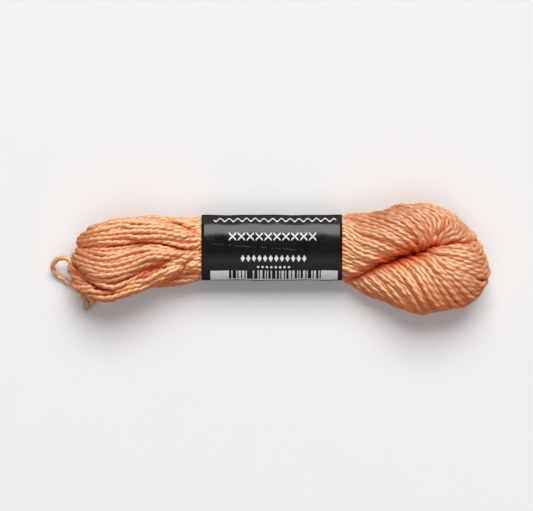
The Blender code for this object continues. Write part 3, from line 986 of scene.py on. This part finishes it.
def paper_material(colours):
    """Black coated paper with a plain printed ornament. The band's UV is in
    millimetres: along the band, and up over it from the far edge of its top."""
    w = Wiring("coated_paper_print")
    place = w.place()
    split = w.node("ShaderNodeSeparateXYZ", {"Vector": w.run()})
    x, y = split.outputs[0], split.outputs[1]

    def cell(value, size):
        return w.calc("MODULO", w.plus(value, 1000.0 * size), size)

    def box(left, right, far, near):
        return w.times(w.inside(x, left, right), w.inside(y, far, near))

    def place_in(row):
        """Distances from the middle of the nearest mark of a row."""
        left, _, _, _, middle, pitch = row
        return w.minus(cell(w.minus(x, left), pitch), pitch / 2), w.minus(y, middle)

    def grey(factor):
        return tuple(value * factor for value in colours.paper)

    # Cross stitches: the point lies near either diagonal of its mark
    across, up = place_in(STITCH_ROW)
    slant = w.calc("MINIMUM", w.size(w.minus(across, up)), w.size(w.plus(across, up)))
    marks = w.times(w.times(w.below(slant, 0.26), w.inside(across, -0.95, 0.95)),
                    box(*STITCH_ROW[:4]))
    # Diamonds: the sum of both distances is small
    across, up = place_in(DIAMOND_ROW)
    diamond = w.below(w.plus(w.size(across), w.times(w.size(up), 0.62)), 0.60)
    marks = w.larger(marks, w.times(diamond, box(*DIAMOND_ROW[:4])))
    # Dots: the sum of their squares is small
    across, up = place_in(DOT_ROW)
    dot = w.below(w.plus(w.times(across, across), w.times(up, up)), 0.11)
    marks = w.larger(marks, w.times(dot, box(*DOT_ROW[:4])))
    # Scalloped line near the far edge
    wave = w.times(w.calc("SINE", w.times(w.minus(x, SCALLOP_BOX[0]), SCALLOP_WAVES)), 0.55)
    line = w.below(w.size(w.minus(w.minus(y, SCALLOP_MIDDLE), wave)), 0.24)
    marks = w.larger(marks, w.times(line, box(*SCALLOP_BOX)))
    # Bars of mixed width on the pale strip
    column = w.calc("FLOOR", w.times(x, 3.1))
    chance = w.node("ShaderNodeTexWhiteNoise", {"W": column}, noise_dimensions="1D")
    filled = w.larger(w.below(chance.outputs["Value"], 0.34), w.below(cell(column, 3.0), 0.5))
    bars = w.times(filled, box(*BARS_BOX))

    wear = w.noise(place, 420.0, 4.0, 0.6)
    base = w.mix(w.ramp(wear, 0.3, 0.75), colours.paper, grey(1.7))
    # Painted reflection: towards both sides of the band the coat is painted paler, for the dim
    # surroundings mirrored there
    base = w.mix(w.ramp(y, 13.0, 15.2), base, grey(3.3))
    base = w.mix(w.ramp(y, 5.4, 4.6), base, grey(3.8))
    ink = w.mix(w.ramp(wear, 0.35, 0.65, 0.9, 1.0), colours.paper, colours.print_ink)
    # Faint jagged crease across the paper
    jag = w.noise(w.node("ShaderNodeCombineXYZ", {"X": x}).outputs[0], 0.9, 3.0, 0.7)
    rise = w.minus(w.minus(y, 10.1), w.plus(w.times(x, 0.07), w.times(jag, 1.3)))
    crease = w.times(w.below(w.size(rise), 0.14),
                     w.times(w.inside(x, 2.7, 28.4), w.ramp(wear, 0.42, 0.6)))
    base = w.mix(crease, base, (0.06, 0.06, 0.06))
    colour = w.mix(w.larger(marks, box(*STRIP_BOX)), base, ink)
    colour = w.mix(bars, colour, base)
    height = w.plus(w.times(w.noise(place, 900.0, 3.0, 0.6), 0.08), w.noise(place, 95.0))
    bump = w.node("ShaderNodeBump", {"Strength": 0.25, "Distance": 0.0004, "Height": height})
    w.set(Base_Color=colour, Roughness=w.ramp(wear, 0.3, 0.8, 0.15, 0.24),
          Normal=bump.outputs[0], Specular_IOR_Level=0.33)
    return w.material


def floor_material(colours):
    """Matt pale table with a hardly visible grain."""
    w = Wiring("table")
    low = tuple(value * 0.985 for value in colours.floor)
    w.set(Base_Color=w.mix(w.noise(w.place(), 60.0, 3.0), low, colours.floor),
          Roughness=0.9, Specular_IOR_Level=0.1)
    return w.material


# ------------------------------------------------------------------ operators

class FLOSS_OT_stage(bpy.types.Operator):
    """Adds the pale floor, the soft light and the camera that looks straight down"""
    bl_idname = "floss.stage"
    bl_label = "Stage"

    def execute(self, context):
        scene = context.scene
        camera_data = bpy.data.cameras.new("camera")
        camera_data.lens, camera_data.sensor_width, camera_data.clip_end = LENS, SENSOR, 20.0
        camera = bpy.data.objects.new("camera", camera_data)
        height = FRAME_WIDTH * LENS / SENSOR + OBJECT_MID_HEIGHT
        camera.location = (FRAME_MID_X * MM, FRAME_MID_Y * MM, height * MM)
        scene.collection.objects.link(camera)
        scene.camera = camera

        corners = np.array([[-1, -1, 0], [1, -1, 0], [1, 1, 0], [-1, 1, 0]]) * FLOOR_SIZE / 2
        material = floor_material(scene.floss_colours)
        floor = mesh_piece("table", corners, np.array([[0, 1, 2, 3]]), material)
        # The bright floor mirrored in the flanks of the strands would grey them
        floor.visible_glossy = False

        for name, bearing, elevation, distance, width, height, power, colour in LAMPS:
            data = bpy.data.lights.new(name, "AREA")
            data.shape = "RECTANGLE"
            data.size, data.size_y, data.energy, data.color = width, height, power, colour
            lamp = bpy.data.objects.new(name, data)
            bearing, elevation = math.radians(bearing), math.radians(elevation)
            level = distance * math.cos(elevation)
            lamp.location = (level * math.cos(bearing), level * math.sin(bearing),
                             distance * math.sin(elevation))
            lamp.rotation_euler = (math.pi / 2 - elevation, 0.0, bearing + math.pi / 2)
            scene.collection.objects.link(lamp)
            # The card only lifts the shadows; a mirror of it in the silk would grey them
            lamp.visible_glossy = name == "softbox"

        world = bpy.data.worlds.new("studio")
        world.use_nodes = True
        background = world.node_tree.nodes["Background"].inputs
        background["Color"].default_value = (0.97, 0.985, 1.0, 1.0)
        background["Strength"].default_value = 0.16
        scene.world = world
        world.cycles_visibility.glossy = False
        scene.view_settings.view_transform = "Standard"
        return {"FINISHED"}


class FLOSS_OT_tie(bpy.types.Operator):
    """Adds the tie yarn with its loose loop and two cut ends"""
    bl_idname = "floss.tie"
    bl_label = "Tie"

    def execute(self, context):
        sizes = context.scene.floss_sizes
        width = sizes.tie_width / MM
        route = measured_route(TIE_ROUTE)
        length = route[0][-1]
        rings = int(length / TIE_RING_GAP)
        station = np.linspace(0, length, rings)
        path = rows_at(route, station)[None]
        surface, run = yarn_surface(path, width, TIE_PLY_TURN, np.ones((1, rings)), False)
        # The cut ends open up and lie flat
        opened = 1.0 - eased(np.minimum(station, length - station) / TIE_OPENED)
        wider, flatter = 1.0 + 0.35 * opened, 1.0 - 0.45 * opened
        stretch = np.stack([wider, wider, flatter], -1)[None, :, None]
        points = (path[:, :, None] + (surface - path[:, :, None]) * stretch).reshape(-1, 3)
        faces = tube_faces(1, rings, PLY_POINTS, False)
        around = np.tile(np.arange(PLY_POINTS) / PLY_POINTS, rings)
        uv = corner_uv(faces, np.repeat(run[0], PLY_POINTS), around)

        # Frayed fibres fan out from both ends
        random = np.random.default_rng(17)
        count = 2 * FRAY_FIBRES
        end = np.repeat([0, rings - 1], FRAY_FIBRES)
        heading = np.repeat(unit(path[0, [0, -1]] - path[0, [3, -4]]), FRAY_FIBRES, axis=0)
        sideways = np.cross(heading, [0.0, 0.0, 1.0])
        place = random.uniform(-1, 1, (count, 1))
        start = (path[0, end] + sideways * place * 0.5 * width
                 + random.normal(0, 0.1, (count, 3)) - 0.7 * heading)
        reach = random.uniform(0.9, 1.6, (count, 1))
        bend = random.normal(0, 0.25, (count, 3)) * (1, 1, 0.2)
        direction = (heading + 0.45 * sideways * place) * reach
        fray, fray_faces, fray_caps = fibre_tubes(start, direction, bend, 0.07)

        caps = tube_caps(rings, PLY_POINTS) + [cap + len(points) for cap in fray_caps]
        faces = np.concatenate([faces, fray_faces + len(points)])
        points = np.concatenate([points, fray])
        # Painted light on the tie: less painted shade on its flanks than the hank, a paler colour
        # and the lightest strand tone
        material = silk_material("tie_silk", context.scene.floss_colours, 0.7, 0.12)
        numbers = {"shade": np.full(len(points), 1.0)}
        tie = mesh_piece("tie_yarn", points, faces, material, uv, numbers, caps)
        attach(tie, "root")
        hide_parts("tie")
        return {"FINISHED"}


class FLOSS_OT_band(bpy.types.Operator):
    """Adds the glossy paper band round the skein's waist"""
    bl_idname = "floss.band"
    bl_label = "Paper band"

    def execute(self, context):
        thickness = context.scene.floss_sizes.paper_thickness / MM
        around, along = BAND_AROUND, BAND_ALONG
        # The way once round the oval, from the middle of its underside
        angle = np.linspace(0, 2 * math.pi, 4001) - math.pi / 2
        y, z = band_oval(angle, 0.0)
        walked = np.concatenate([[0.0], np.cumsum(np.hypot(np.diff(y), np.diff(z)))])
        girth = walked[-1]
        way = np.linspace(0, girth, around + 1)[:-1]
        x = np.linspace(BAND_LEFT, BAND_RIGHT, along)
        grid_angle, grid_x = np.meshgrid(np.interp(way, walked, angle), x, indexing="ij")
        dent = (0.05 * np.sin(grid_x * 0.33 + 2 * grid_angle)
                + 0.04 * np.sin(grid_x * 0.71 - 3 * grid_angle))

        def side(inset):
            """The sheet's one side, slightly dented."""
            y, z = band_oval(grid_angle, inset + 0.06 + dent)
            return np.stack([grid_x, y, z], -1).reshape(-1, 3)

        points = np.concatenate([side(0.0), side(thickness)])
        i = np.arange(around)[:, None] * along
        following = np.roll(i, -1, axis=0)
        j = np.arange(along - 1)
        outside = np.stack([i + j, i + j + 1, following + j + 1, following + j], -1).reshape(-1, 4)
        inner = around * along
        faces = [outside, outside[:, ::-1] + inner]
        for column, order in ((0, 1), (along - 1, -1)):
            rim = np.arange(around) * along + column
            beyond = np.roll(rim, -1)
            faces.append(np.stack([rim, beyond, beyond + inner, rim + inner], -1)[:, ::order])
        faces = np.concatenate(faces)
        # UV in millimetres: along from the left edge, and from the top's far edge to the near
        far_edge = np.interp(0.0, angle, walked)
        u = np.tile((grid_x - BAND_LEFT).ravel(), 2)[faces]
        v = np.tile(np.repeat(way - far_edge, along), 2)[faces]
        at_seam = (v.max(1) - v.min(1) > girth / 2)[:, None] & (v < 0)
        uv = np.stack([u, np.where(at_seam, v + girth, v)], -1).reshape(-1, 2)
        material = paper_material(context.scene.floss_colours)
        band = mesh_piece("paper_sleeve", points, faces, material, uv)
        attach(band, "root")
        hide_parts("paper_band")
        return {"FINISHED"}


def hank_piece(name, points, faces, material, uv, numbers, caps=()):
    """Adds a mesh that stands for a part of the hank."""
    piece = mesh_piece(name, points, faces, material, uv, numbers, caps)
    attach(piece, "root")
    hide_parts("hank")


class FLOSS_OT_yarn(bpy.types.Operator):
    """Adds the hank: the ring of two-ply yarn, twisted and folded"""
    bl_idname = "floss.yarn"
    bl_label = "Hank of yarn"

    def execute(self, context):
        sizes, colours = context.scene.floss_sizes, context.scene.floss_colours
        width, ply_turn = sizes.yarn_width / MM, sizes.ply_turn / MM
        guide, in_band = yarn_loops()
        free = 1.0 - in_band
        fade = np.convolve(np.pad(free, 12, mode="wrap"), np.ones(9) / 9, "same")[12:-12] * free
        drift = wander(len(guide), guide.shape[1], 11, DRIFT, DRIFT_WAVES)
        guide = guide + drift * fade[None, :, None]
        rounds = ROUNDS
        paths = pressed(settled(guide, in_band, width * PACKING, rounds))
        at, hidden = ring_stations(paths, in_band, RING_GAP, HIDDEN_RING_GAP)
        path = resampled(paths, at)
        rings = path.shape[1]
        shown = 1.0 - hidden[np.minimum(at.astype(int), len(hidden) - 1)]
        twisting = shown * np.where(path[..., 0] > 0.0, ARM_PLY_SHARE, 1.0)
        swell = 1.05 + wander(TURNS, rings, 5, 0.045, (40, 71, 110))[..., 0]
        swell += strength_at(path, [LOOSE_PLACE])
        surface, run = yarn_surface(path, width, ply_turn, twisting, True, swell)
        surface[..., 2] = np.maximum(surface[..., 2], 0.05)

        shade = np.random.default_rng(3).uniform(0.2, 0.9, TURNS)[:, None]
        shade = shade + wander(TURNS, rings, 8, 0.12, (3, 7, 12))[..., 0]
        # Painted shade: depth below the grooves, with the fold and left gap widened and fading out
        # near the table, sets how far the colour turns to the fold colour
        fold = groove_depth(path, {"fold": 2.8, "gap_left": 2.2})
        fold *= eased((path[..., 2] - 2.0) / 3.0)
        everywhere = {"shade": shade, "dye": strength_at(path, DARKER_PLACES), "fold": fold}
        material = silk_material("silk", colours)
        around = np.tile(np.arange(PLY_POINTS) / PLY_POINTS, PIECE_TURNS * rings)
        faces = tube_faces(PIECE_TURNS, rings, PLY_POINTS, True)
        for number in range(TURNS // PIECE_TURNS):
            own = slice(number * PIECE_TURNS, (number + 1) * PIECE_TURNS)
            uv = corner_uv(faces, np.repeat(run[own].ravel(), PLY_POINTS), around)
            numbers = {key: np.repeat(values[own].ravel(), PLY_POINTS)
                       for key, values in everywhere.items()}
            hank_piece("yarn_turns_%d" % (number + 1), surface[own].reshape(-1, 3), faces,
                       material, uv, numbers)
        points, faces, caps = stray_fibres(path, surface, shown < 1.0)
        # Stray fibres get only a little of the painted flank shade
        hank_piece("stray_fibres", points, faces, silk_material("loose_silk", colours, 0.2),
                   None, {"shade": np.full(len(points), 0.9)}, caps)
        return {"FINISHED"}


class FLOSS_OT_inner(bpy.types.Operator):
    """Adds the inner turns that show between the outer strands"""
    bl_idname = "floss.inner"
    bl_label = "Inner turns"

    def execute(self, context):
        material = silk_material("silk_inside", context.scene.floss_colours)
        for name, rows, upright, share in (
                ("upper", UPPER_FAN, False, 0.9), ("lower", LOWER_FAN, False, 0.9),
                ("edge", EDGE_FAN, False, 0.9), ("arm", ARM, True, 0.97)):
            points, faces, caps = inner_tube(rows, upright, share)
            sides = len(caps[0])
            around = np.tile(np.arange(sides) / sides, len(points) // sides)
            # The inner turns are painted darker and redder, as painted shade for the gaps they show
            # in
            numbers = {"shade": np.full(len(points), 0.1), "fold": np.full(len(points), 1.0)}
            hank_piece("inner_turns_" + name, points, faces, material,
                       corner_uv(faces, points[:, 0], around), numbers, caps)
        return {"FINISHED"}


class FLOSS_PT_panel(bpy.types.Panel):
    """Sidebar panel with the skein's settings and its makers"""
    bl_idname = "FLOSS_PT_panel"
    bl_label = "Floss skein"
    bl_space_type = "VIEW_3D"
    bl_region_type = "UI"
    bl_category = "Floss"

    def draw(self, context):
        layout = self.layout
        for group in (context.scene.floss_sizes, context.scene.floss_colours):
            for name in group.__annotations__:
                layout.prop(group, name)
        for operator in OPERATORS:
            layout.operator(operator.bl_idname)


OPERATORS = (FLOSS_OT_stage, FLOSS_OT_tie, FLOSS_OT_band, FLOSS_OT_yarn, FLOSS_OT_inner)
CLASSES = (FlossSizes, FlossColours) + OPERATORS + (FLOSS_PT_panel,)


def register():
    for each in CLASSES:
        bpy.utils.register_class(each)
    bpy.types.Scene.floss_sizes = bpy.props.PointerProperty(type=FlossSizes)
    bpy.types.Scene.floss_colours = bpy.props.PointerProperty(type=FlossColours)


def unregister():
    del bpy.types.Scene.floss_colours
    del bpy.types.Scene.floss_sizes
    for each in reversed(CLASSES):
        bpy.utils.unregister_class(each)


def main():
    register()
    bpy.ops.floss.stage()
    bpy.ops.floss.tie()
    bpy.ops.floss.band()
    bpy.ops.floss.yarn()
    bpy.ops.floss.inner()


if __name__ == "__main__":
    main()
